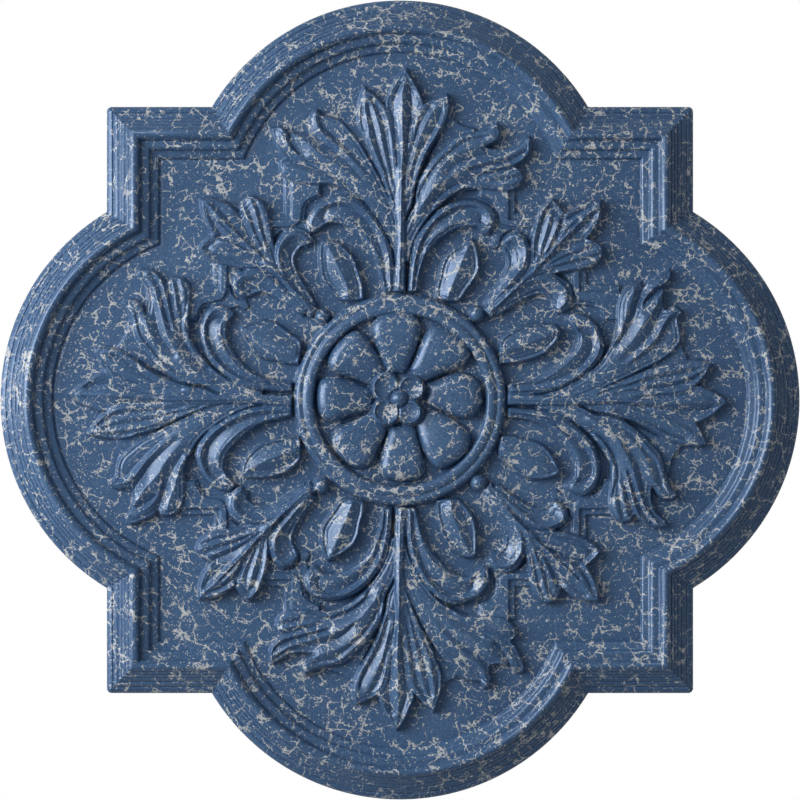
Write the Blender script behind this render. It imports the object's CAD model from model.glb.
import math
import os
import bpy
import numpy as np
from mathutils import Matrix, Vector


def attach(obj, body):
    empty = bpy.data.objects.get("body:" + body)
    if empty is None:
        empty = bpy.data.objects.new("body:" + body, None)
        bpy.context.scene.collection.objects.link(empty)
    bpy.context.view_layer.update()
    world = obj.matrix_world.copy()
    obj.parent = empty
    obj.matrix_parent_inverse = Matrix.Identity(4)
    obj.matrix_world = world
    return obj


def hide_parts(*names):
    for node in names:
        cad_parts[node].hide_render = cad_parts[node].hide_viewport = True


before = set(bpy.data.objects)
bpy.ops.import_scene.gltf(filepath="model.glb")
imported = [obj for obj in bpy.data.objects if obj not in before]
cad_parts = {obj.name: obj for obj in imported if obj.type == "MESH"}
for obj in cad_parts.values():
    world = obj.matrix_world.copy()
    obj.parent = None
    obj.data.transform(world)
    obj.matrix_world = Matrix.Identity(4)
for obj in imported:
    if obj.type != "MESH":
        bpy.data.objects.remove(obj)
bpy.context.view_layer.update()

# ------------------------------------------------------------------
# Ceiling medallion, quatrefoil. Metres in the scene; the tables below
# are in millimetres and tracing units (799 across the piece).
# ------------------------------------------------------------------
WIDTH = 530.0
U = WIDTH / 799.0
LOBE_RADIUS = 145.6 / U
LOBE_OFFSET = 119.4 / U
SQUARE_HALF = 194.4 / U
CORNER_RADIUS = 3.2 / U
FIELD = 14.0
SAMPLES = 1.5      # height samples a tracing unit
MOST_FACES = 192000

C0 = 399.5            # centre of the ornament in tracing units
RAD = math.pi / 180.0

def body(x, y):
    """general height of the leafwork over the field, mm"""
    r = np.hypot(x - C0, y - C0)
    return np.interp(r, [0, 100, 130, 190, 235, 285, 330, 360],
                        [7.6, 7.6, 7.4, 8.2, 8.4, 7.3, 6.0, 5.4])

def pts(s):
    return [tuple(float(v) for v in p.split(',')) for p in s.split()]

def smooth(P, closed, step=0.5, corners=()):
    """smooth curve through the points P, sampled every step units"""
    P = np.asarray(P, float)
    n = len(P)
    out = []
    segs = n if closed else n - 1
    for i in range(segs):
        p1, p2 = P[i], P[(i + 1) % n]
        p0 = P[(i - 1) % n] if (closed or i > 0) else 2 * p1 - p2
        p3 = P[(i + 2) % n] if (closed or i + 2 < n) else 2 * p2 - p1
        d = np.hypot(*(p2 - p1)[:2])
        k = max(2, int(d / step))
        a = max(np.hypot(*(p1 - p0)[:2]), 1e-6) ** 0.5
        b = max(d, 1e-6) ** 0.5
        c = max(np.hypot(*(p3 - p2)[:2]), 1e-6) ** 0.5
        m1 = b * ((p1 - p0) / a - (p2 - p0) / (a + b) + (p2 - p1) / b)
        m2 = b * ((p2 - p1) / b - (p3 - p1) / (b + c) + (p3 - p2) / c)
        if i in corners or (closed and (i % n) in corners):
            m1 = p2 - p1
        if (i + 1) % n in corners:
            m2 = p2 - p1
        t = np.linspace(0, 1, k, endpoint=False)[:, None]
        t2, t3 = t * t, t * t * t
        out.append((2*t3-3*t2+1)*p1 + (t3-2*t2+t)*m1 + (-2*t3+3*t2)*p2 + (t3-t2)*m2)
    if not closed:
        out.append(P[-1:])
    return np.vstack(out)

def auto_corners(P, closed, deg=55):
    P = np.asarray(P, float)[:, :2]
    n = len(P)
    c = set()
    for i in range(n):
        if not closed and i in (0, n - 1):
            continue
        a = P[i] - P[i - 1]
        b = P[(i + 1) % n] - P[i]
        ang = abs((math.degrees(math.atan2(b[1], b[0]) - math.atan2(a[1], a[0])) + 180) % 360 - 180)
        if ang > deg:
            c.add(i)
    return c

def fill(Q, X0, Y0, nx, ny, S):
    """even-odd scanline fill of the closed curve Q on a grid of S samples a unit"""
    q = (Q[:, :2] - [X0, Y0]) * S
    m = np.zeros((ny, nx), bool)
    x1, y1 = q[:, 0], q[:, 1]
    x2, y2 = np.roll(x1, -1), np.roll(y1, -1)
    for j in range(ny):
        c = (y1 <= j) != (y2 <= j)
        if not c.any():
            continue
        xs = np.sort(x1[c] + (j - y1[c]) * (x2[c] - x1[c]) / (y2[c] - y1[c]))
        for a, b in zip(xs[0::2], xs[1::2]):
            i0, i1 = max(0, int(math.ceil(a))), min(nx - 1, int(math.floor(b)))
            if i1 >= i0:
                m[j, i0:i1 + 1] = True
    return m

def relax(h, free, src, iters, w=1.85):
    """membrane with a source: relaxes the free cells, odd and even in turn"""
    ny, nx = h.shape
    jj, ii = np.mgrid[1:ny - 1, 1:nx - 1]
    f = free[1:-1, 1:-1]
    red = f & ((ii + jj) % 2 == 0)
    blk = f & ((ii + jj) % 2 == 1)
    s = src[1:-1, 1:-1] if hasattr(src, 'shape') else src
    for _ in range(iters):
        for mk in (red, blk):
            c = h[1:-1, 1:-1]
            avg = 0.25 * (h[:-2, 1:-1] + h[2:, 1:-1] + h[1:-1, :-2] + h[1:-1, 2:] + s)
            c[mk] += w * (avg - c)[mk]
    return h

def solve(h, fixed, free, src, level=0):
    """coarse to fine membrane solve"""
    ny, nx = h.shape
    if min(ny, nx) > 24 and level < 4:
        cy, cx = (ny + 1) // 2, (nx + 1) // 2
        py, px = cy * 2 - ny, cx * 2 - nx
        def pad(a, v=0):
            return np.pad(a, ((0, py), (0, px)), constant_values=v)
        F = pad(fixed.astype(float))
        Hh = pad(h * fixed)
        n = F.reshape(cy, 2, cx, 2).sum((1, 3))
        hc = Hh.reshape(cy, 2, cx, 2).sum((1, 3)) / np.maximum(n, 1e-9)
        fc = n > 0
        fr = pad(free.astype(float)).reshape(cy, 2, cx, 2).sum((1, 3)) > 0
        fr &= ~fc
        mean = h[fixed].mean() if fixed.any() else 0
        hc = np.where(fc, hc, mean)
        sc = pad(src).reshape(cy, 2, cx, 2).mean((1, 3)) if hasattr(src, 'shape') else src
        hc = solve(hc, fc, fr, sc * 4, level + 1)
        up = np.repeat(np.repeat(hc, 2, 0), 2, 1)[:ny, :nx]
        h = np.where(free, up, h)
    it = [70, 60, 60, 80, 120][level] if level < 5 else 120
    return relax(h, free, src, it, 1.7 if level == 0 else 1.8)

def soften(a, s):
    """blur of a grid, s cells wide"""
    r = int(3 * s + 1)
    k = np.exp(-0.5 * (np.arange(-r, r + 1) / s) ** 2)
    k /= k.sum()
    a = np.apply_along_axis(lambda v: np.convolve(np.pad(v, r, mode='edge'), k, 'valid'), 0, a)
    return np.apply_along_axis(lambda v: np.convolve(np.pad(v, r, mode='edge'), k, 'valid'), 1, a)

def level_line(a, s, step):
    """line through the points s, with its heights a spread along it"""
    pl = np.array(s, float)[:, :2]
    d = np.concatenate([[0], np.cumsum(np.hypot(*np.diff(pl, axis=0).T))])
    hs = np.interp(d / d[-1], np.linspace(0, 1, len(a)), a)
    pl = np.column_stack([pl, hs])
    return smooth(pl, False, step, auto_corners(pl, False, 80))

GROW = 1.8            # petals stand this far outside their drawn outline


def inside(Q, GX, GY, jj, ii):
    """distance of grid points from the outline, tracing units"""
    x, y = GX[jj, ii], GY[jj, ii]
    q = Q[::2, :2]
    d = np.full(x.shape, 1e9)
    for k in range(0, len(q), 40):
        b = q[k:k + 40]
        d = np.minimum(d, ((x[:, None] - b[None, :, 0]) ** 2 + (y[:, None] - b[None, :, 1]) ** 2).min(1))
    return np.sqrt(d)


def domed(part, Q, GX, GY, m):
    """cushion over the outline: a round shoulder, then a gently crowned top that sinks towards the centre"""
    w, table = part['dome']
    e = part.get('e', 0.0)
    h = np.full(GX.shape, float(e))
    jj, ii = np.mgrid[:GX.shape[0], :GX.shape[1]]
    jj, ii = jj.ravel(), ii.ravel()
    x, y = GX[jj, ii], GY[jj, ii]
    d = inside(Q, GX, GY, jj, ii)
    d = np.where(m[jj, ii], d, -d) + GROW
    m |= (d > 0).reshape(m.shape)
    r = np.hypot(x - C0, y - C0)
    top = np.interp(r, [a for a, b in table], [b for a, b in table])
    t = np.clip(d / w, 0, 1)
    g = 0.86 * np.sqrt(np.maximum(1 - (1 - t) ** 2, 0)) + 0.14 * np.clip(d / (1.9 * w), 0, 1)
    h[jj, ii] = e + (top - e) * g
    return h

def draw(part, H, X0, Y0, S):
    """adds one part to the height grid H (mm over the field)"""
    P = np.array(part['o'])
    Q = smooth(P, True, 0.5 / S * 1.0, auto_corners(P, True))
    pad = 3
    x0 = math.floor(Q[:, 0].min()) - pad; x1 = math.ceil(Q[:, 0].max()) + pad
    y0 = math.floor(Q[:, 1].min()) - pad; y1 = math.ceil(Q[:, 1].max()) + pad
    i0, j0 = int(round((x0 - X0) * S)), int(round((y0 - Y0) * S))
    nx, ny = int(round((x1 - x0) * S)) + 1, int(round((y1 - y0) * S)) + 1
    gx = X0 + (i0 + np.arange(nx)) / S
    gy = Y0 + (j0 + np.arange(ny)) / S
    GX, GY = np.meshgrid(gx, gy)
    m = fill(Q, gx[0], gy[0], nx, ny, S)
    B = body(GX, GY) if part.get('rel', True) else np.zeros_like(GX)
    e = part.get('e', -4.0)
    h = np.full((ny, nx), 0.0)      # relative to B
    h[:] = e
    free = m.copy()
    fixed = ~m
    for a, s in part['l']:
        q = level_line(a, s, 0.4 / S)
        ii = np.rint((q[:, 0] - gx[0]) * S).astype(int)
        jj = np.rint((q[:, 1] - gy[0]) * S).astype(int)
        ok = (ii >= 0) & (ii < nx) & (jj >= 0) & (jj < ny)
        ii, jj, hv = ii[ok], jj[ok], q[ok, 2]
        ok = m[jj, ii]
        h[jj[ok], ii[ok]] = hv[ok]
        fixed[jj[ok], ii[ok]] = True
        free[jj[ok], ii[ok]] = False
    if 'dome' in part:
        h = domed(part, Q, GX, GY, m)
    else:
        h = solve(h, fixed, free, part.get('b', 0.02) / S / S)
        if part['l']:
            # a fine raised border, with a groove inside it
            jj, ii = np.nonzero(m)
            d = inside(Q, GX, GY, jj, ii)
            for at, high in ((1.5, 0.32), (3.4, -0.44), (5.3, 0.22), (7.2, -0.26), (9.0, 0.12), (10.8, -0.12)):
                h[jj, ii] += high * np.exp(-((d - at) / 0.9) ** 2)
    tot = h + B
    sub = H[j0:j0 + ny, i0:i0 + nx]
    if part.get('over'):
        sub[m] = tot[m]
    else:
        sub[m] = np.maximum(sub[m], tot[m])
    return H

def P(o, l=(), e=-4.0, b=0.02, **k):
    d = dict(o=pts(o), l=[(a, pts(s)) for a, s in l], e=e, b=b)
    d.update(k)
    return d

def turned(part, q, mirror=False):
    """the same part turned q quarter turns clockwise, and mirrored left to right first if asked"""
    def f(p):
        x, y = p[0] - C0, p[1] - C0
        if mirror:
            x = -x
        for _ in range(q % 4):
            x, y = -y, x
        return (x + C0, y + C0) + tuple(p[2:])
    d = dict(part)
    d['o'] = [f(p) for p in part['o']]
    d['l'] = [(a, [f(p) for p in s]) for a, s in part['l']]
    return d

def tps(pairs, lam=1e-3):
    """thin-plate map taking the first two numbers of each pair to the last two"""
    A = np.array(pairs, float)
    s, d = A[:, :2], A[:, 2:]
    n = len(s)
    def U(r2):
        return np.where(r2 > 0, r2 * np.log(np.maximum(r2, 1e-12)), 0.0)
    K = U(((s[:, None] - s[None]) ** 2).sum(2)) + lam * np.eye(n) * 1e4
    Pm = np.hstack([np.ones((n, 1)), s])
    L = np.zeros((n + 3, n + 3))
    L[:n, :n] = K; L[:n, n:] = Pm; L[n:, :n] = Pm.T
    w = np.linalg.solve(L, np.vstack([d, np.zeros((3, 2))]))
    def f(q):
        q = np.atleast_2d(np.asarray(q, float))[:, :2]
        return U(((q[:, None] - s[None]) ** 2).sum(2)) @ w[:n] + np.hstack([np.ones((len(q), 1)), q]) @ w[n:]
    return f

def warped(part, f):
    d = dict(part)
    def g(p):
        x, y = f([p[:2]])[0]
        return (x, y) + tuple(p[2:])
    d['o'] = [g(p) for p in part['o']]
    d['l'] = [(a, [g(p) for p in s]) for a, s in part['l']]
    return d

def cone(H, S, slope, reach):
    """walls lean out: the surface may not fall faster than slope (mm a unit)"""
    n = int(math.ceil(reach * S))
    out = H.copy()
    for k in range(n):
        for dy, dx, L in ((0,1,1),(1,0,1),(0,-1,1),(-1,0,1),(1,1,1.414),(1,-1,1.414),(-1,1,1.414),(-1,-1,1.414)):
            s = np.roll(np.roll(out, dy, 0), dx, 1) - slope * L / S
            np.maximum(out, s, out)
    return out

# ring round the rosette: radius, height over the field
RING = [(83.5, -30), (84.5, 1.0), (86.5, 8.6), (88.5, 9.6), (91.5, 9.9), (94.5, 9.5), (96, 8.7), (97.2, 7.9),
        (98.6, 8.4), (100.8, 8.6), (103, 8.0), (104.2, 6.8), (105.5, 6.2), (107.5, -30)]
# cupped lobes of the small flower, and the balls outside the ring: centre and radius
FLOWER = [(386, 387, 14.0), (386, 411, 13.5), (408.5, 411, 12.5), (410.5, 388, 13.0)]
BALLS = [(476, 314, 7.5), (478, 482, 7.8), (321, 485, 7.5), (322, 316, 7.0)]

HUB = 34.0            # radius of the hub that the petals grow from

def flower(X, Y):
    """four cupped lobes with fine rims, and a button; mm over the field"""
    out = np.full(X.shape, -30.0)
    for cx, cy, R in FLOWER:
        r = np.hypot(X - cx, Y - cy)
        h = 13.1 + 1.9 * np.exp(-((r - (R - 1.7)) / 1.3) ** 2) - 1.3 * np.exp(-(r / 6.0) ** 2)
        h = np.where(r < R, h, np.where(r < R + 3, h - (r - R) * 4.0, -30))
        d = np.minimum(np.abs(X - 398.2), np.abs(Y - 399.2))
        h = h - 2.6 * np.exp(-(d / 1.2) ** 2)
        out = np.maximum(out, h)
    r = np.hypot(X - 398.7, Y - 398.0)
    out = np.where(r < 11.0, out - 1.8 * np.exp(-((r - 8.6) / 1.3) ** 2), out)
    b = 17.0 - 3.0 * (r / 8.0) ** 2
    return np.maximum(out, np.where(r < 7.8, b, -30))

def centre_back(H, X, Y):
    """sunk floor inside the ring, and the small tips behind the petals"""
    r = np.hypot(X - C0, Y - C0)
    H[r < 86] = 1.0
    th = np.arctan2(Y - C0, X - C0)
    k = np.abs(((th / (math.pi / 4)) % 1) - 0.5)
    tip = (r > 62) & (r < 86) & (k < 0.20)
    H[tip] = 1.6 + 0.8 * (1 - k[tip] / 0.20)
    H[r < HUB] = 3.8

def centre_front(H, X, Y):
    """flower, ring and balls"""
    r = np.hypot(X - C0, Y - C0)
    H = np.maximum(H, flower(X, Y))
    H = np.maximum(H, np.interp(r, [a for a, b in RING], [b for a, b in RING]))
    for cx, cy, R in BALLS:
        q = np.hypot(X - cx, Y - cy)
        m = q < R
        H[m] = np.maximum(H[m], 5.5 + np.sqrt(np.maximum(R * R - q[m] ** 2, 0)) * 0.62)
    return H


# ---- north leaf, lowest first
N = []
# left lower scroll
N += [P("308,231 306,224 308,217 313,210 319,204 327,200 335,197 345,195 354,197 363,203 371,211 378,221 385,233 390,245 393,258 395,275 396,292 384,292 380,276 376,263 370,252 362,241 353,232 345,226 337,223 329,223 323,226 317,230 312,233",
  [(( -1,1.5,1.5,1.0), "311,228 311,220 315,212 322,206 331,203 342,200 352,202 361,207 369,215 377,226 384,239 388,253 389,270 390,290"),
   ((-3.5,-3.0,-2,-1.5), "324,221 324,214 327,209 333,207 343,207 352,209 360,214 368,222 375,234 380,247 384,262 386,285"),
   ((-1.5,0.3,0.3,0), "316,228 322,224 330,219 338,217 346,219 354,225 362,233 370,244 377,258 381,272 385,290")], e=-2.6)]
# right lower scroll
N += [P("487,234 490,230 494,222 495,216 492,210 487,205 480,202 472,200 463,200 455,202 446,205 438,210 430,218 424,225 418,233 413,243 410,258 408,275 407,292 417,292 418,277 420,268 424,258 430,249 437,241 445,235 453,230 461,227 470,226 477,227 483,233",
  [((-1,1.5,1.5,1.0), "488,229 491,221 489,213 482,207 473,204 463,204 454,206 446,210 438,216 430,224 423,234 418,246 414,260 412,275 411,290"),
   ((-3.5,-3,-2,-1.5), "480,222 481,215 477,210 470,208 461,209 453,212 444,217 436,224 429,233 423,244 419,256 416,270 414,288"),
   ((-1.5,0.3,0.3,0), "484,229 478,223 470,220 461,220 452,223 443,229 434,237 427,247 422,259 418,273 415,290")], e=-2.6)]
# buds
N += [P("323,241 320,244 319,253 319.5,264 322,277 328,288 336,297 341,300 352,300.5 363,299 362.5,290 360.5,279 357,268 353,258 346,249.5 336,242.5 329,240.5",
  [((0.6,2.0,2.5,2.5), "326.5,245 333,256 340,271 346.5,286 348,298"),
   ((-0.9,-1.0,-1.0,-0.9), "324.6,249 324.8,260 327,272 332,283 340,295"),
   ((-0.9,-1.2,-1.2,-1.1), "333,245 343,251.5 350,260.5 354,270 357.5,282 359,296")], e=-0.5, b=0.0)]
N += [P("471,239.5 474.5,244 477.5,254 478.5,264 477,273 472,281.5 465,291 458,300 446,300.5 435.5,298 436,288 439,276 441,266 445,257 452,250 461,244.5",
  [((0.6,2.0,2.5,2.5), "469.5,243.5 463.5,256 458.5,269 452.5,283 447,297"),
   ((-0.9,-1.0,-1.0,-0.9), "462,248.5 453,254 447.5,261 444.5,270 441.5,282 439.5,295"),
   ((-0.9,-1.2,-1.2,-1.1), "471.5,247 474,256 474.5,265 472,273 466,283 457,295.5")], e=-0.5, b=0.0)]
# low webs between the lobes
N += [P("343,121 350,118 357,115 361,124 364,134 369,146 373,158 370,160 362,150 353,139", (), e=3.0, b=0.0, rel=False)]
N += [P("448,115 453,119 459,124 466,127 476,129 471,134 460,139 449,146 437,157 429,168 424,172 427,160 434,146 441,132", (), e=3.0, b=0.0, rel=False)]
# left big lobe
N += [P("317,109 319,113 322,116 330,117 337,119 343,123 348,129 354,136 360,144 366,154 373,166 379,177 385,190 392,205 399,225 399,262 395,262 393,252 388,238 383,229 378,220 371,211 366,204 358,197 350,192 340,187 330,184 320,184 308,184 297,183 289,180 283,175 280,168 281,161 286,158 281,153 276,144 272,134 271,129 276,127 281,127 286,132 288,136 292,133 297,134 304,134 311,132 311,125 310,118 313,112",
  [((0,1.8,1.8,1.2,0.4), "316,111 315,118 317,125 321,132 327,138 335,144 344,152 354,162 364,174"),
   ((-2.5,-2.5,-1.2,-0.8), "320,116 321,123 325,129 331,134 339,141 348,150 358,161 368,174"),
   ((-3,-2.4,-1.2,-0.6), "307,133 314,137 322,143 332,149 342,158 352,168 361,178"),
   ((0,2.0,1.8,1.0,0.3), "293,135 302,140 309,144 316,151 324,158 334,164 346,172 358,183"),
   ((-3.5,-2.8,-1.2,-0.5), "289,134 291,142 295,149 301,156 310,161 322,166 336,173 350,183"),
   ((0,1.0,1.0,0.3), "281,129 285,136 287,143 291,149 298,155 306,159 316,163"),
   ((-3,-2.4,-1.2), "284,156 291,159 300,162 309,165 322,170 338,178 352,188"),
   ((1.2,1.6,1.2,0.4), "286,167 292,168 300,170 312,174 328,179 344,186"),
   ((-0.5,-0.8,-0.6), "284,170 287,176 293,179 301,181")], e=-1.8)]
# right big lobe
N += [P("414,205 416,190 418,180 423,171 430,161 437,153 445,146 452,139 460,135 470,133 480,131 489,128 496,123 498,127 499.5,132 499,137 496,141 491,144 485,147.5 497,149 506,148 513,146 520,141 525,138 529,137 530,144 529.5,151 527,156 522,161 514,166 519,169.5 522,174 522,180 519,185 515,188.5 509,190.5 500,191 490,189.5 480,189 470,189 462,190 455,194 447,199 440,205 433,211 425,221 418,232 412,245 408,262 401,262 401,235 407,218",
  [((0.2,1.2,1.4,1.4), "416,196 421,182 428,171 436,161 444,154 452,147 460,140 468,137 480,135 490,131 496,126"),
   ((-0.8,-0.4,-0.2,-0.2), "419,196 424,184 431,173 439,163 447,156 455,149 464,142 474,139 484,137"),
   ((0.5,1.4,1.8,2.0,1.4), "421,196 426,185 434,174 442,165 450,158 460,152 470,149 480,146 488,143 495,138.5"),
   ((-0.4,-1.2,-1.6,-1.2), "446,175 455,166 466,160 480,157 494,155 506,152.5 516,148.5 524,142.5"),
   ((1.0,2.6,2.6,2.2,1.6,0.8), "418,212 424,201 431,192 438,183 446,178 456,171.5 467,167 479,164 492,160.5 505,157 515,152.5 525,146"),
   ((-2.6,-2.2,-1.6,-1.0), "430,208 437,199 445,192 453,187 461,184 470,182 480,183 490,187"),
   ((0.4,0.6,0.6,0.2), "433,206 440,199 449,193 457,189 465,186 475,185 485,187 494,190"),
   ((0.0,1.2,0.8), "497,126 498,131 497,136 493,141 486,144"),
   ((-1.4,-1.8,-1.4,-0.8), "526,151 518,157 508,161.5 496,164.5 484,167.5 470,171"),
   ((0.4,1.4,1.8,1.6,0.6), "528,141 527.5,149 524,156 517,162 508,165 496,168 484,170.5 470,174"),
   ((-2.2,-2.0,-1.4,-0.6), "514,168 506,169.5 496,172 484,174.5 470,178"),
   ((0.6,1.3,1.1,0.3), "519,172 510,174.5 498,176.5 484,178.5"),
   ((-0.8,-1.2,-1.0), "519,176.5 510,178.5 498,180.5 486,181.5"),
   ((0.6,1.0,0.7), "519,181 510,183 500,184.5")], e=-1.8)]
# left inner lobe
N += [P("364,87 368,91 374,95 380,101 386,107 390,114 392,122 393,131 394,142 397,158 399,180 399,225 394,212 390,200 386,190 381,178 376,168 371,158 367,149 364,140 360,131 358,122 358,112 359,103 361,95",
  [((0.5,1.8,1.2,0.6), "364,90 364,100 365,112 367,124 370,138 375,152 381,168 388,188 394,208"),
   ((-1.0,-1.0,-0.8,-0.6), "368,104 370,114 373,126 377,142 382,160 388,180 394,200"),
   ((0.6,1.2,0.8,0.4), "368,95 372,106 376,116 379,128 382,144 386,162 391,184 396,206"),
   ((-1.8,-1.6,-0.8,-0.5), "371,99 376,107 381,117 384,128 387,144 390,162 394,184"),
   ((0.4,1.4,1.4,0.8), "368,92 374,98 380,105 385,112 388,120 390,132 392,148 395,168 398,190"),
   ((-1.2,-1.0), "361,108 362,120 365,130")], e=-0.9)]
# right inner lobe
N += [P("447,94 449,101 449,110 447,118 443,127 438,135 433,143 427,153 422,164 418,176 414,190 411,205 401,225 401,180 404,160 408,142 411,122 415,112 420,106 427,102 434,99 441,96",
  [((0.8,1.6,1.6,1.0), "446,98 446,108 443,118 438,129 432,139 426,150 420,163 416,176 411,192"),
   ((-1.4,-1.4,-1.0,-0.8), "441,112 438,121 433,131 427,141 421,152 415,167 411,182"),
   ((0.4,1.2,1.0,0.6), "438,104 432,112 427,121 422,131 417,143 413,157 410,172 407,190"),
   ((-1.2,-1.0,-0.8), "431,106 425,114 420,123 416,135 412,149 409,165"),
   ((0.3,0.8,0.4), "425,106 420,113 416,123 413,135 410,150")], e=-0.9)]
# centre lobe and midrib
N += [P("406,69 410,76 414,83 418,90 421,97 423,104 421,110 416,117 412,126 411,140 409,158 407,178 405,200 405,240 404,292 393,292 395,262 396,235 395,212 395,190 395,170 394,150 392,132 390,118 386,108 385,101 388,94 392,86 397,78 401,73",
  [((0.5,3.0,3.6,3.6,2.6,1.5), "405,73 403,84 402,100 402,120 402,150 401,180 401,210 400,240 399,270 398,290"),
   ((-2.4,-2.0,-1.6,-1.2,-0.8), "410,86 411,98 411,112 410,128 409,145 407,165 405,190 405,215"),
   ((0.6,0.8,0.4), "411,80 415,88 418,95 420,103"),
   ((0.2,0.8,0.4), "401,77 396,85 391,94 388,101"),
   ((-0.8,-0.8,-0.8), "401,83 397,91 394,99 393,108 394,122 396,140 397,165"),
   ], e=-0.3)]
# ---- north-east leaf
D = []
# left scroll: a ridge that hooks over at its head, its face falling to the hollow side
D += [P("493,309 483,303 487,297 493,289 499,280 504,271 507,263 506,255 503,249 501,244 503,239 508,234 514,231.5 520,232 525,237 529,244 532.5,252 533,261 530,270 524,278 516,287 508,296 501,304",
  [((-1.0,1.2,1.8,1.8,1.5,1.0), "504,243 509,237 516,235 522,240 525,249 525,257 522,266 515,275 507,285 498,295 489,306"),
   ((-3.0,-1.6,-1.2,-1.2,-0.8), "510,244 515,246 518,252 518,260 513,270 505,281 496,292 488,302"),
   ((-4.2,-3.4,-2.6,-2.2,-1.6), "507,250 511,254 512,261 508,270 501,280 493,291 486,300"),
   ((-2.2,-1.6,-1.0), "515,254 515,261 510,271 503,281 495,291"),
   ((-0.6,-0.2), "521,256 519,264 513,273 506,282")], e=-3.4)]
# right scroll
D += [P("486,308 495,316.5 501,312.8 508,308.5 516,303.5 524,299 532,295.5 540,294 547,296.5 552,301 554,307 557,312.5 563,311.5 568,307 571.5,300 572,292 569.5,285 564.5,280 558,276 551,273 542,271 533,272.5 524,276.5 516,281 507,286 499,292 491,300",
  [((-1.0,1.2,1.8,1.8,1.5,1.0), "558,309 563,304 565.5,297 564,289.5 558,283 550,279 540,278.5 530,281 519,286 508,292 498,299 489,308"),
   ((-3.0,-1.6,-1.2,-1.2,-0.8), "557,300 558,293 553,287.5 546,285 537,285.5 527,289 516,295 505,302 495,309"),
   ((-4.2,-3.4,-2.6,-2.2,-1.6), "552,297 549,292 543,290.5 536,291 527,294.5 517,300 507,306 498,312"),
   ((-2.2,-1.6,-1.0), "549,288.5 542,287.5 534,288.5 525,292 515,297.5 505,304"),
   ((-0.6,-0.2), "546,282 537,282 528,285 518,290 508,296")], e=-3.4)]
# main leaf: three lobes
D += [P("490,318 482,309 492,303 504,294 515,285 524,276 530,266 531,256 530.5,246 531,237 533,228 536,219 540,210 545,204 551,199 556,203 561,208 564.5,213 571,209 579,204.5 589,201.5 600,200.5 600.5,206 600,214 598,222 594,230 589,235.5 586,238.5 592,240 599,244.5 602.5,250 601,256.5 597,262 590,266.5 582,269 570,271 558,273 548,275.5 538,279 528,284 518,291 508,299 499,308",
  [((1.5,3,3,2.6,1.2), "490,311 504,298 517,286 529,274 540,263 551,251 561,240 571,230 582,219 592,210 599,202.5"),
   ((0.3,1.0,1.1,0.9,0.2), "532.5,256 533,244 535,231 539,218 543,209.5 548,203.5 551,201.5 555,204.5 560,210.5 562,215"),
   ((-0.8,-1.5,-1.7,-1.3), "535.5,258 536.5,246 539,233 543,219 547,210.5 551,207 554.5,211 557,216"),
   ((-0.2,0.7,0.9,0.4), "539,257 541,246 544.5,234 547.5,223 549.5,213"),
   ((-1.0,-1.2,-0.8), "541,257 544,247 548.5,235 552,224 553,216"),
   ((0.0,0.6,0.6,0.2), "543.5,256 548,246 553,235 556.5,226 558.5,219.5"),
   ((-1.0,-2.0,-2.4,-2.4), "539,262.5 546,252 553,241 558,231 561.5,222 563,216"),
   ((1.0,1.3,0.6), "564.5,217 567,214 574,210 583,206 592,203.5 597,203"),
   ((-0.6,-1.4,-1.0,0.2), "560,230 566,221 573,215.5 581,211 589,207.5 594,206"),
   ((0.6,1.6,1.4,0.8), "558,238 565,229 572,221.5 580,215 588,210"),
   ((0.4,0.3,0.0), "553,246.5 562,237 570,228 578,220.5"),
   ((0.6,0.0,-1.2,-1.5,-1.0), "543,262.5 554,251 565,240.5 576,231.5 587,222.5 595,213"),
   ((1.0,0.6,0.3,0.3), "598.5,206 598,213 596,220 591.5,228.5 587,234"),
   ((-0.2,-1.2,-2.2,-2.6), "538,267 546,260.5 556,254 567,248 577,243.5 585,240"),
   ((0.4,0.9,0.7,0.2), "543,266 553,260 563,254.5 573,250.5 583,246.5 591,243"),
   ((-0.8,-1.2,-0.9), "550,264 560,259 571,255 582,251.5 593,247"),
   ((0.6,1.4,1.2,0.6), "543,269 554,264.5 566,260.5 578,257.5 590,254.5 600,250"),
   ((-0.8,-1.2,-1.0), "553,268 564,265 575,262 586,259.5 596,256"),
   ((0.2,0.4,0.1), "556,270.8 568,268.5 580,266 590,262.5 597,258")], e=-1.7)]
C = []
def pet(o, *l, e=5.0, b=0.045):
    return P(o, l, e=e, b=b, rel=False, over=True, dome=(9.5, [(20, 8.0), (32, 9.5), (50, 11.6), (66, 12.6), (80, 12.2)]))
C += [pet("388,371 384,362 380,352 376,342 373,332 373,325 377,319 386,315 398,314 410,315.5 416,319 418.5,326 418,334 415,345 411,355 406,366 403,371", ((8,11.5,12.5,11), "395,368 394,352 392,337 391,325"))]
C += [pet("411,369 416,358 420,347 424,337 429,330 434,326.5 445,329 452,333 459,338 464,343 467,349 468,356 465,361 459,365.5 450,368.5 441,372 433,376 427,379 421,380 415,374", ((8,11.5,12.5,10.5), "420,372 430,360 438,348 446,338"))]
C += [pet("427,384 433,382.5 441,380 450,376 458,374 466,375 473,379 478,385 479.5,392 480,400 478,407 474,412 467,416 459,415.5 450,412 441,408 432,405.5 427,402", ((8,11.5,12.5,10.5), "430,394 444,394 458,393 470,393"))]
C += [pet("418,419 425,412 433,411 443,415 451,419 458,424 464,429 467.5,434 468.5,440 467.5,446 464,452 459,457 453,461 447,464 440,466 434,464 430,459 426,453 423,446 421,439 419,431 418,425", ((8,11.5,12.5,10.5), "424,422 434,433 444,443 453,452"))]
C += [pet("392,428 399,426 407,425 413,428 415,436 418,446 420.5,455 422,463 422,470 419,475 413,477.5 407,478.5 400,479 393,478 386,476 382,471 381,465 382,456 384,448 387,439 390,432", ((8,11.5,12.5,10.5), "400,430 400,444 400,457 400,470"))]
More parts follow.
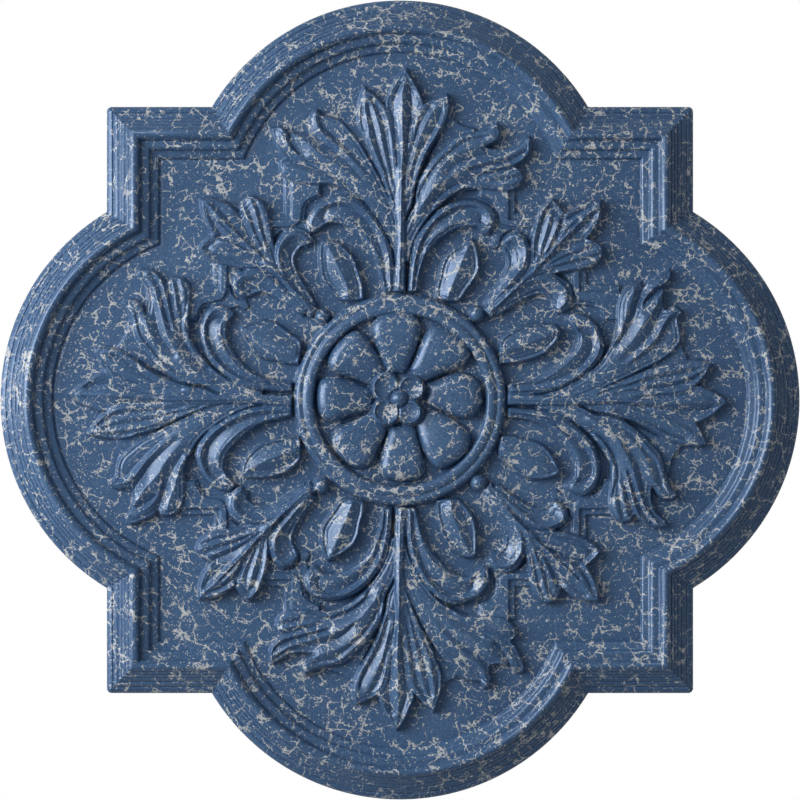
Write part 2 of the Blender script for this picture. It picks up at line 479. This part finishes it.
C += [pet("371,413 378,420 383,424 384,431 380,440 376,448 373,456 369,462 364,465 358,466 351,463 344,458 338,452 334,446 332,440 334,434 339,429 345,425.5 352,422.5 360,419 367,415", ((8,11.5,12.5,10.5), "376,424 366,434 356,443 347,452"))]
C += [pet("369,407 362,409.5 352,412.5 343,416 335,419 328,419 322.5,415 319.5,409 318.5,402 318.5,393 319.5,386 322,380.5 328,377.5 335,377 344,380 353,383 362,387 369,390 371,396 370.5,402", ((8,11.5,12.5,10.5), "368,399 355,399 341,399 329,399"))]
C += [pet("383,370 380,362 377,356 373,350 369,344 364,337 360,333 354,332 348,335 341,341 335,348 331,355 329,362 331,368 337,371 345,373.5 353,376 361,379 367,382 372,384 378,378", ((8,11.5,12.5,10.5), "374,376 364,365 354,354 346,345"))]

# ---- straps between the leaves: stepped flat bands lying under them (height over the field)
def crossed(part):
    """the same part mirrored in the north-east diagonal"""
    def f(p):
        return (C0 - (p[1] - C0), C0 - (p[0] - C0)) + tuple(p[2:])
    d = dict(part)
    d['o'] = [f(p) for p in part['o']]
    d['l'] = [(a, [f(p) for p in s]) for a, s in part['l']]
    return d

E = []
E += [P("478,180 514.5,180 514.5,213.5 542,213.5 542,241 529,241 524,236 518,231 511,230 504,233 500,238 499,246 492,249 489.5,244 493.5,238 491,232 494,222 494,212 491,203 478,196", (), e=2.4, b=0.0, rel=False)]
E += [P("480,180 508,180 508,220 541,220 541,227 517,227 507,226 500,222 498,214 495,203 480,194", (), e=4.6, b=0.0, rel=False)]
E += [crossed(p) for p in E]

# where each side leaf differs from the north one: landmarks on the north leaf and where they lie
STILL = [(399,292,399,292), (404,150,404,150), (395,230,395,230), (487,205,487,205), (473,239,473,239), (437,290,437,290), (360,299,360,299), (461,190,461,190), (340,187,340,187), (408,275,408,275), (392,292,392,292), (499,137,499,136)]
SHIFTS = [
    [],
    [(406,69.5,402,73), (423,104,422,104), (364,87,364,88), (447,94,444,92.5), (449,110,445,112), (496,123,494.5,122), (529,137,525,132), (522,174,521,173),
     (317,109,313,118), (343,123,344,121), (271,129,269,130), (307,224,314,223), (334,197,337,197), (350,256,352,257)],
    [(406,69.5,403,70.5), (364,87,365.5,88), (317,109,315,111.5), (271,129,275,129), (281,161,285,162), (307,224,311,223), (318,250,322,253),
     (328,286,331,287.5), (496,123,494,124.5), (529,137,528,136.5)],
    [(423,104,427,105), (359,110,362.5,110), (271,129,275,129), (318,250,321,252), (328,286,330,287), (406,69.5,406,69.5), (529,137,529,137), (317,109,317,109)],
]


def leaves():
    """every modelled part of the ornament, lowest first"""
    out = []
    for q in range(4):
        out += [('plate', turned(p, q)) for p in E]
    for q in range(4):
        out += [('corner_leaf', turned(p, q)) for p in D]
    for q in range(4):
        parts = N
        if SHIFTS[q]:
            moved = SHIFTS[q] + [k for k in STILL if all(math.hypot(k[0] - m[0], k[1] - m[1]) > 8 for m in SHIFTS[q])]
            f = tps(moved)
            parts = [warped(p, f) for p in N]
        out += [('side_leaf', turned(p, q)) for p in parts]
    return out

def petals():
    return [('petal', p) for p in C]

# ------------------------------------------------------------------
# Rim profile: distance in from the outer edge against height, mm
# ------------------------------------------------------------------
RIM = [(0, 10.5), (0.4, 11.3), (1.5, 12.5), (3.1, 13.75), (3.5, 13.8), (4.2, 13.35), (4.75, 14.6), (5.8, 15.9), (7.1, 17.0), (7.35, 17.05),
       (8.0, 16.65), (8.45, 17.8), (9.2, 18.8), (9.8, 19.4), (10.0, 19.45), (10.6, 19.1), (11.0, 20.2), (12.0, 21.5), (12.15, 21.5),
       (12.75, 21.2), (13.1, 22.2), (14.3, 23.6), (14.5, 23.65), (15.1, 23.3), (15.45, 24.5), (16.1, 25.6), (17.0, 26.5), (17.9, 26.9), (18.7, 27.0),
       (19.8, 26.75), (20.9, 26.0), (21.7, 25.0), (22.0, 24.2), (22.3, 22.6), (22.6, 21.6), (23.1, 21.0), (24.2, 21.2), (26.6, 21.2),
       (27.6, 20.9), (28.4, 20.3), (28.8, 19.5), (29.0, 18.3), (29.6, 17.6), (30.4, 17.3), (32.2, 16.9), (33.3, 16.6), (33.9, 16.3), (34.4, 15.8),
       (34.8, 14.2), (35.3, 13.6), (36.3, 13.8), (37.5, 14.0), (80.0, 14.0)]


def inner(X, Y, rounded):
    """distance in from the outer edge in tracing units, and the way out; X, Y from the centre"""
    best = SQUARE_HALF - np.maximum(np.abs(X), np.abs(Y))
    side = np.abs(X) > np.abs(Y)
    gx = np.where(side, np.sign(X), 0.0)
    gy = np.where(side, 0.0, np.sign(Y))
    if rounded:
        k = SQUARE_HALF - CORNER_RADIUS
        cx, cy = np.abs(X) - k, np.abs(Y) - k
        at = (cx > 0) & (cy > 0)
        q = np.hypot(cx, cy) + 1e-9
        best = np.where(at, CORNER_RADIUS - q, best)
        gx = np.where(at, np.sign(X) * cx / q, gx)
        gy = np.where(at, np.sign(Y) * cy / q, gy)
    for ox, oy in ((0, LOBE_OFFSET), (0, -LOBE_OFFSET), (LOBE_OFFSET, 0), (-LOBE_OFFSET, 0)):
        q = np.hypot(X - ox, Y - oy) + 1e-9
        d = LOBE_RADIUS - q
        m = d > best
        best = np.where(m, d, best)
        gx = np.where(m, (X - ox) / q, gx)
        gy = np.where(m, (Y - oy) / q, gy)
    return best, gx, gy


def relief(S):
    """height over the field, mm, of the whole ornament on a grid of S samples a unit"""
    n = int(round(799 * S)) + 1
    H = np.full((n, n), -30.0)
    X, Y = np.meshgrid(np.arange(n) / S, np.arange(n) / S)
    for name, part in leaves():
        draw(part, H, 0, 0, S)
    centre_back(H, X, Y)
    for name, part in petals():
        draw(part, H, 0, 0, S)
    H = centre_front(H, X, Y)
    H = np.maximum(H, 0.0)
    H = cone(H, S, 4.0, 3.0)
    return soften(H, 0.5 * S), X, Y


def medallion_mesh():
    """one closed mesh: modelled face, straight edge and flat back"""
    S = SAMPLES
    H, X, Y = relief(S)
    n = H.shape[0]
    px, py = X - C0, C0 - Y                     # from the centre, up is +
    d, gx, gy = inner(px, py, True)
    rim = np.interp(d * U, [a for a, b in RIM], [b for a, b in RIM])
    Z = np.where(H > 0.02, np.maximum(rim, FIELD + H), rim)
    half = 0.5 / S
    keep = d > -half
    snap = np.abs(d) <= half
    qx = np.where(snap, px + gx * d, px)
    qy = np.where(snap, py + gy * d, py)
    # the sharp inward corners, where a lobe meets the square
    c = LOBE_OFFSET
    t = math.sqrt(LOBE_RADIUS ** 2 - (SQUARE_HALF - c) ** 2)
    for sx in (-1, 1):
        for sy in (-1, 1):
            for kx, ky in ((sx * t, sy * SQUARE_HALF), (sx * SQUARE_HALF, sy * t)):
                i, j = int(round((kx + C0) * S)), int(round((C0 - ky) * S))
                qx[j, i], qy[j, i] = kx, ky
                keep[j, i] = True
                snap[j, i] = True
    Z = np.where(snap, RIM[0][1], Z)
    idx = np.full((n, n), -1, np.int64)
    jj, ii = np.nonzero(keep)
    idx[jj, ii] = np.arange(len(jj))
    co = np.column_stack([qx[jj, ii] * U, qy[jj, ii] * U, Z[jj, ii]])
    a, b = idx[:-1, :-1].ravel(), idx[:-1, 1:].ravel()
    e, f = idx[1:, :-1].ravel(), idx[1:, 1:].ravel()      # a b over e f
    za, zb, ze, zf = Z[:-1, :-1].ravel(), Z[:-1, 1:].ravel(), Z[1:, :-1].ravel(), Z[1:, 1:].ravel()
    ok = [v >= 0 for v in (a, b, e, f)]
    four = ok[0] & ok[1] & ok[2] & ok[3]
    diag = np.abs(za - zf) <= np.abs(zb - ze)
    tris = []

    def add(m, p, q, r):
        tris.append(np.column_stack([p[m], q[m], r[m]]))
    add(four & diag, a, e, f)
    add(four & diag, a, f, b)
    add(four & ~diag, a, e, b)
    add(four & ~diag, e, f, b)
    add(ok[1] & ok[2] & ok[3] & ~ok[0], e, f, b)
    add(ok[0] & ok[2] & ok[3] & ~ok[1], a, e, f)
    add(ok[0] & ok[1] & ok[3] & ~ok[2], a, f, b)
    add(ok[0] & ok[1] & ok[2] & ~ok[3], a, e, b)
    T = np.vstack(tris)
    p0, p1, p2 = co[T[:, 0]], co[T[:, 1]], co[T[:, 2]]
    area = 0.5 * ((p1[:, 0] - p0[:, 0]) * (p2[:, 1] - p0[:, 1]) - (p1[:, 1] - p0[:, 1]) * (p2[:, 0] - p0[:, 0]))
    T = T[area > 0.004]
    # outer loop of the face, as directed edges that belong to one triangle only
    E = np.vstack([T[:, [0, 1]], T[:, [1, 2]], T[:, [2, 0]]])
    N = len(co)
    key = E[:, 0] * N + E[:, 1]
    back = E[:, 1] * N + E[:, 0]
    rimE = E[~np.isin(key, back)]
    nxt = dict(zip(rimE[:, 0].tolist(), rimE[:, 1].tolist()))
    start = int(rimE[0, 0])
    loop = [start]
    while nxt[loop[-1]] != start:
        loop.append(nxt[loop[-1]])
    assert len(loop) == len(rimE), (len(loop), len(rimE))
    used = np.zeros(N, bool)
    used[T.ravel()] = True
    new = np.cumsum(used) - 1
    T = new[T]
    loop = new[np.array(loop)]
    co = co[used]
    m = len(co)
    k = len(loop)
    low = co[loop].copy()
    low[:, 2] = 0.0
    foot = m + np.arange(k)
    nl, nf = np.roll(loop, -1), np.roll(foot, -1)
    W = np.vstack([np.column_stack([loop, foot, nf]), np.column_stack([loop, nf, nl])])
    co = np.vstack([co, low]) * 0.001
    T = np.vstack([T, W])
    faces = T.tolist() + [foot[::-1].tolist()]
    me = bpy.data.meshes.new("medallion_relief")
    me.from_pydata(co.tolist(), [], faces)
    me.update()
    return me, H


me, H = medallion_mesh()
ob = bpy.data.objects.new("medallion_relief", me)
bpy.context.scene.collection.objects.link(ob)
tris = sum(len(p.vertices) - 2 for p in me.polygons)
mod = ob.modifiers.new("fewer", "DECIMATE")
mod.ratio = min(1.0, MOST_FACES / tris)
bpy.context.view_layer.update()
dg = bpy.context.evaluated_depsgraph_get()
slim = bpy.data.meshes.new_from_object(ob.evaluated_get(dg))
ob.modifiers.remove(mod)
ob.data = slim
bpy.data.meshes.remove(me)
slim.name = "medallion_relief"
slim.polygons.foreach_set("use_smooth", [True] * len(slim.polygons))
slim.set_sharp_from_angle(angle=math.radians(48))
# shading normals that follow the larger faces, so that the flat field stays flat beside the leaves
mod = ob.modifiers.new("normals", "WEIGHTED_NORMAL")
mod.mode = "FACE_AREA"
mod.weight = 50
mod.keep_sharp = True
bpy.context.view_layer.update()
dg = bpy.context.evaluated_depsgraph_get()
done = bpy.data.meshes.new_from_object(ob.evaluated_get(dg))
ob.modifiers.remove(mod)
ob.data = done
bpy.data.meshes.remove(slim)
slim = done
slim.name = "medallion_relief"
print("faces", len(slim.polygons), "of", tris)


# ------------------------------------------------------------------
# Paint: slate blue, glossy, with a crackle that shows the pale coat
# ------------------------------------------------------------------
def material():
    m = bpy.data.materials.new("painted_moulding")
    m.use_nodes = True
    nt = m.node_tree
    nt.nodes.clear()
    N, L = nt.nodes, nt.links

    def node(kind, **k):
        q = N.new(kind)
        for a, v in k.items():
            setattr(q, a, v)
        return q

    def link(a, b):
        L.new(a, b)

    def val(x, sock):
        if isinstance(x, (int, float)):
            sock.default_value = x
        else:
            link(x, sock)

    def math_(op, a, b=0.0, c=None, clamp=False):
        q = node("ShaderNodeMath", operation=op, use_clamp=clamp)
        val(a, q.inputs[0])
        val(b, q.inputs[1])
        if c is not None:
            val(c, q.inputs[2])
        return q.outputs[0]

    def noise(vec, scale, detail=2.0, rough=0.5, dist=0.0, w=None):
        q = node("ShaderNodeTexNoise")
        link(vec, q.inputs["Vector"])
        q.inputs["Scale"].default_value = scale
        q.inputs["Detail"].default_value = detail
        q.inputs["Roughness"].default_value = rough
        q.inputs["Distortion"].default_value = dist
        return q.outputs["Fac"], q.outputs["Color"]

    def step(x, lo, hi):
        q = node("ShaderNodeMapRange", interpolation_type="SMOOTHSTEP")
        link(x, q.inputs["Value"])
        q.inputs["From Min"].default_value = lo
        q.inputs["From Max"].default_value = hi
        return q.outputs["Result"]

    def shifted(vec, v):
        q = node("ShaderNodeVectorMath", operation="ADD")
        link(vec, q.inputs[0])
        q.inputs[1].default_value = v
        return q.outputs[0]

    def bent(vec, colour, amount):
        s = node("ShaderNodeVectorMath", operation="SUBTRACT")
        link(colour, s.inputs[0])
        s.inputs[1].default_value = (0.5, 0.5, 0.5)
        k = node("ShaderNodeVectorMath", operation="SCALE")
        link(s.outputs[0], k.inputs[0])
        k.inputs["Scale"].default_value = amount
        q = node("ShaderNodeVectorMath", operation="ADD")
        link(vec, q.inputs[0])
        link(k.outputs[0], q.inputs[1])
        return q.outputs[0]

    tc = node("ShaderNodeTexCoord")
    geo = node("ShaderNodeNewGeometry")
    pos = tc.outputs["Object"]
    # flatten the depth a little so that the crackle runs over the relief
    squash = node("ShaderNodeVectorMath", operation="MULTIPLY")
    link(pos, squash.inputs[0])
    squash.inputs[1].default_value = (1.0, 1.0, 0.8)
    P = squash.outputs[0]

    # crack lines: edges of jagged cells
    def cracks(P, cell, jag_scale, jag, width_lo, width_hi, rnd=1.0):
        f, c = noise(P, jag_scale, 3.0, 0.62)
        f2, c2 = noise(P, jag_scale * 4.5, 2.0, 0.6)
        Q = bent(bent(P, c, jag), c2, jag * 0.28)
        v = node("ShaderNodeTexVoronoi", feature="DISTANCE_TO_EDGE")
        link(Q, v.inputs["Vector"])
        v.inputs["Scale"].default_value = 1.0 / cell
        v.inputs["Randomness"].default_value = rnd
        return v.outputs["Distance"]

    d1 = cracks(P, 0.0100, 95.0, 0.011, 0, 0)
    d2 = cracks(shifted(P, (0.37, 0.11, 0.2)), 0.0052, 190.0, 0.0055, 0, 0)
    # where cracks open, and how wide
    open1, _ = noise(shifted(P, (1.7, 0.3, 0.0)), 80.0, 3.0, 0.70)
    open2, _ = noise(shifted(P, (0.2, 2.3, 0.0)), 210.0, 3.0, 0.75)
    clump, _ = noise(shifted(P, (4.1, 1.3, 0.0)), 30.0, 2.0, 0.55)
    o1 = math_("ADD", open1, math_("MULTIPLY", clump, 0.10))
    o2 = math_("ADD", open2, math_("MULTIPLY", clump, 0.12))
    w1 = math_("ADD", math_("MULTIPLY", math_("MAXIMUM", math_("SUBTRACT", o1, 0.546), 0.0), 0.22), math_("MULTIPLY", step(o1, 0.536, 0.556), 0.020))
    w2 = math_("ADD", math_("MULTIPLY", math_("MAXIMUM", math_("SUBTRACT", o2, 0.642), 0.0), 0.42), math_("MULTIPLY", step(o2, 0.632, 0.652), 0.036))
    m1 = step(math_("SUBTRACT", w1, d1), -0.006, 0.012)
    m2 = step(math_("SUBTRACT", w2, d2), -0.010, 0.022)
    # specks and blots
    s1, _ = noise(shifted(P, (0.9, 3.3, 0.0)), 640.0, 1.0, 0.6)
    speck = step(math_("ADD", s1, math_("MULTIPLY", clump, 0.10)), 0.735, 0.785)
    b1, _ = noise(shifted(P, (7.9, 0.3, 0.0)), 190.0, 3.0, 0.72, 0.5)
    blot = step(math_("ADD", b1, math_("MULTIPLY", clump, 0.16)), 0.765, 0.795)
    mask = math_("MAXIMUM", math_("MAXIMUM", m1, m2), math_("MAXIMUM", speck, blot), clamp=True)

    # blue coat: slight cloudiness and a fine grain
    cloud, _ = noise(P, 18.0, 3.0, 0.55)
    grain, _ = noise(P, 900.0, 2.0, 0.7)
    mixf = math_("ADD", math_("MULTIPLY", cloud, 0.40), math_("SUBTRACT", math_("MULTIPLY", grain, 1.10), 0.25), clamp=True)
    ramp = node("ShaderNodeValToRGB")
    ramp.color_ramp.elements[0].position = 0.30
    ramp.color_ramp.elements[0].color = (0.025, 0.065, 0.145, 1)
    ramp.color_ramp.elements[1].position = 0.70
    ramp.color_ramp.elements[1].color = (0.067, 0.140, 0.268, 1)
    link(mixf, ramp.inputs["Fac"])
    pale, _ = noise(P, 260.0, 2.0, 0.6)
    ramp2 = node("ShaderNodeValToRGB")
    ramp2.color_ramp.elements[0].position = 0.3
    ramp2.color_ramp.elements[0].color = (0.33, 0.345, 0.345, 1)
    ramp2.color_ramp.elements[1].position = 0.7
    ramp2.color_ramp.elements[1].color = (0.60, 0.61, 0.60, 1)
    link(pale, ramp2.inputs["Fac"])
    mix = node("ShaderNodeMix", data_type="RGBA")
    link(mask, mix.inputs["Factor"])
    link(ramp.outputs["Color"], mix.inputs[6])
    link(ramp2.outputs["Color"], mix.inputs[7])

    # height: cracks slightly sunk, a fine brush texture and a slow unevenness
    slow, _ = noise(P, 40.0, 2.0, 0.5)
    fine, _ = noise(P, 520.0, 3.0, 0.6)
    hgt = math_("ADD", math_("MULTIPLY", slow, 0.00013), math_("MULTIPLY", fine, 0.00006))
    bump = node("ShaderNodeBump")
    bump.inputs["Strength"].default_value = 1.0
    bump.inputs["Distance"].default_value = 1.0
    link(hgt, bump.inputs["Height"])

    rough = math_("ADD", math_("MULTIPLY", mask, 0.20), math_("ADD", math_("MULTIPLY", grain, 0.08), 0.26))
    b = node("ShaderNodeBsdfPrincipled")
    link(mix.outputs[2], b.inputs["Base Color"])
    link(rough, b.inputs["Roughness"])
    b.inputs["IOR"].default_value = 1.5
    b.inputs["Specular IOR Level"].default_value = 0.8
    b.inputs["Specular Tint"].default_value = (0.60, 0.74, 1.0, 1)
    b.inputs["Coat Weight"].default_value = 0.12
    b.inputs["Coat Roughness"].default_value = 0.24
    link(bump.outputs["Normal"], b.inputs["Normal"])
    out = node("ShaderNodeOutputMaterial")
    link(b.outputs[0], out.inputs["Surface"])
    return m


ob.data.materials.clear()
ob.data.materials.append(material())
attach(ob, "root")
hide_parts("medallion")

# ------------------------------------------------------------------
# Floor, light and camera
# ------------------------------------------------------------------
me = bpy.data.meshes.new("floor")
k = 6.0
me.from_pydata([(-k, -k, -0.0005), (k, -k, -0.0005), (k, k, -0.0005), (-k, k, -0.0005)], [], [(0, 1, 2, 3)])
floor = bpy.data.objects.new("floor", me)
bpy.context.scene.collection.objects.link(floor)
fm = bpy.data.materials.new("pale_floor")
fm.use_nodes = True
fn = fm.node_tree
fn.nodes.clear()
o = fn.nodes.new("ShaderNodeOutputMaterial")
mx = fn.nodes.new("ShaderNodeMixShader")
lp = fn.nodes.new("ShaderNodeLightPath")
df = fn.nodes.new("ShaderNodeBsdfDiffuse")
df.inputs["Color"].default_value = (0.55, 0.55, 0.56, 1)
em = fn.nodes.new("ShaderNodeEmission")
em.inputs["Color"].default_value = (1, 1, 1, 1)
em.inputs["Strength"].default_value = 1.0
fn.links.new(lp.outputs["Is Camera Ray"], mx.inputs[0])
fn.links.new(df.outputs[0], mx.inputs[1])
fn.links.new(em.outputs[0], mx.inputs[2])
fn.links.new(mx.outputs[0], o.inputs["Surface"])
floor.data.materials.append(fm)


def area(name, at, size, power, colour=(1, 1, 1)):
    l = bpy.data.lights.new(name, "AREA")
    l.shape = "RECTANGLE"
    l.size, l.size_y = size
    l.energy = power
    l.color = colour
    q = bpy.data.objects.new(name, l)
    q.location = at
    q.rotation_mode = "QUATERNION"
    q.rotation_quaternion = (Vector((0, 0, 0)) - Vector(at)).to_track_quat("-Z", "Y")
    bpy.context.scene.collection.objects.link(q)
    return q


area("key", (-1.45, 0.55, 1.3), (1.3, 1.3), 34)
area("side", (-1.7, 0.1, 0.42), (0.55, 1.5), 15)
w = bpy.data.worlds.new("studio")
bpy.context.scene.world = w
w.use_nodes = True
bg = w.node_tree.nodes.get("Background") or w.node_tree.nodes.new("ShaderNodeBackground")
bg.inputs["Color"].default_value = (0.93, 0.96, 1.0, 1)
bg.inputs["Strength"].default_value = 0.25

cam = bpy.data.cameras.new("camera")
cam.sensor_width = 36.0
DIST = 4.0
# 800 pixels show 799.6 units at the plane of the outer edge
cam.lens = 36.0 * (DIST - 0.0105) / (0.530 * 800.0 / 799.0 * 1.0)
cam.clip_end = 50
co = bpy.data.objects.new("camera", cam)
co.location = (0, 0, DIST)
bpy.context.scene.collection.objects.link(co)
bpy.context.scene.camera = co
bpy.context.scene.view_settings.view_transform = "Standard"
